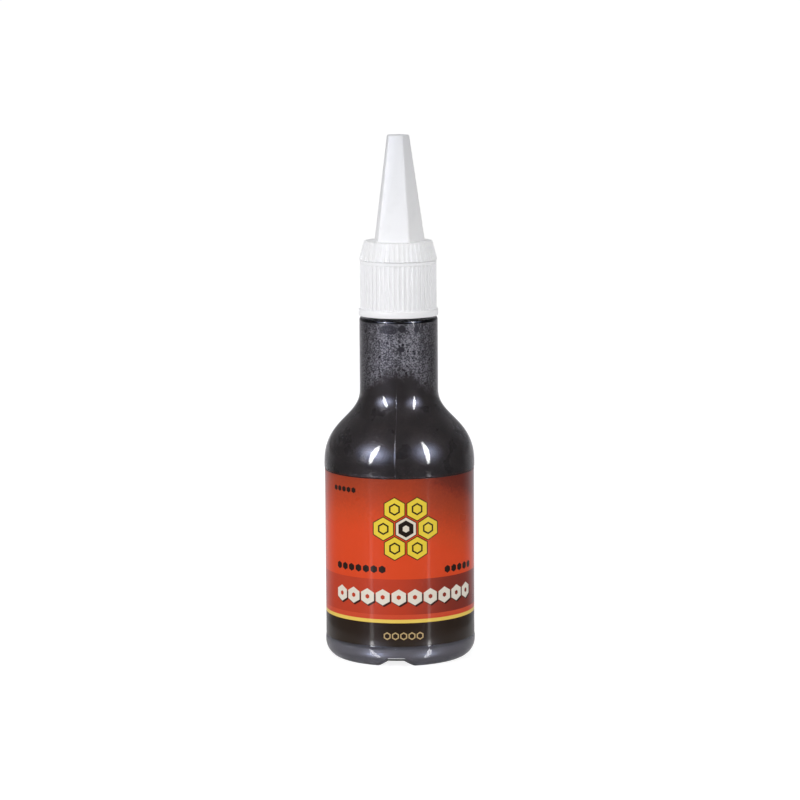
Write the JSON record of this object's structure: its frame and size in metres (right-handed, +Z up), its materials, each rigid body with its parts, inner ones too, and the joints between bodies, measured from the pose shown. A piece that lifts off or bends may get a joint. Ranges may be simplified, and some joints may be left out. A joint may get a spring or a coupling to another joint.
{
  "type": "graphite powder bottle",
  "caption": "Clear long-necked squeeze bottle of graphite powder with a wrap label, a ribbed screw collar, a nozzle and a faceted tapered overcap.",
  "frame": {"origin": "middle of the plane that the bottle stands on", "axes": "+Z up along the bottle's axis, -Y out of the front of the label, +X to the right seen from the front"},
  "size_m": [0.0422, 0.0422, 0.1464],
  "materials": {
    "bottle": "clear blow-moulded plastic, glossy",
    "label": "printed film, satin gloss",
    "graphite_powder": "fine powder with a faint metallic sheen",
    "nozzle": "moulded polyethylene, satin",
    "collar": "moulded polypropylene, satin",
    "overcap": "moulded polyethylene, satin"
  },
  "bodies": {
    "bottle": {"bottle": "bottle", "label": "label", "graphite_powder": "graphite_powder"},
    "nozzle": {"nozzle": "nozzle"},
    "collar": {"collar": "collar"},
    "overcap": {"overcap": "overcap"}
  },
  "joints": [
    {"name": "collar_rise", "type": "slide", "parent": "bottle", "child": "nozzle", "axis": [0, 0, 1], "range_m": [0, 0.00635]},
    {"name": "collar_turn", "type": "hinge", "parent": "nozzle", "child": "collar", "pos_m": [0, 0, 0.0963], "axis": [0, 0, 1], "range_deg": [0, 720]},
    {"name": "overcap_lift", "type": "slide", "parent": "nozzle", "child": "overcap", "axis": [0, 0, 1], "range_m": [0, 0.032]}
  ],
  "couplings": [
    {"joint": "collar_rise", "follows": "collar_turn", "m_per_rad": 0.00050532}
  ]
}
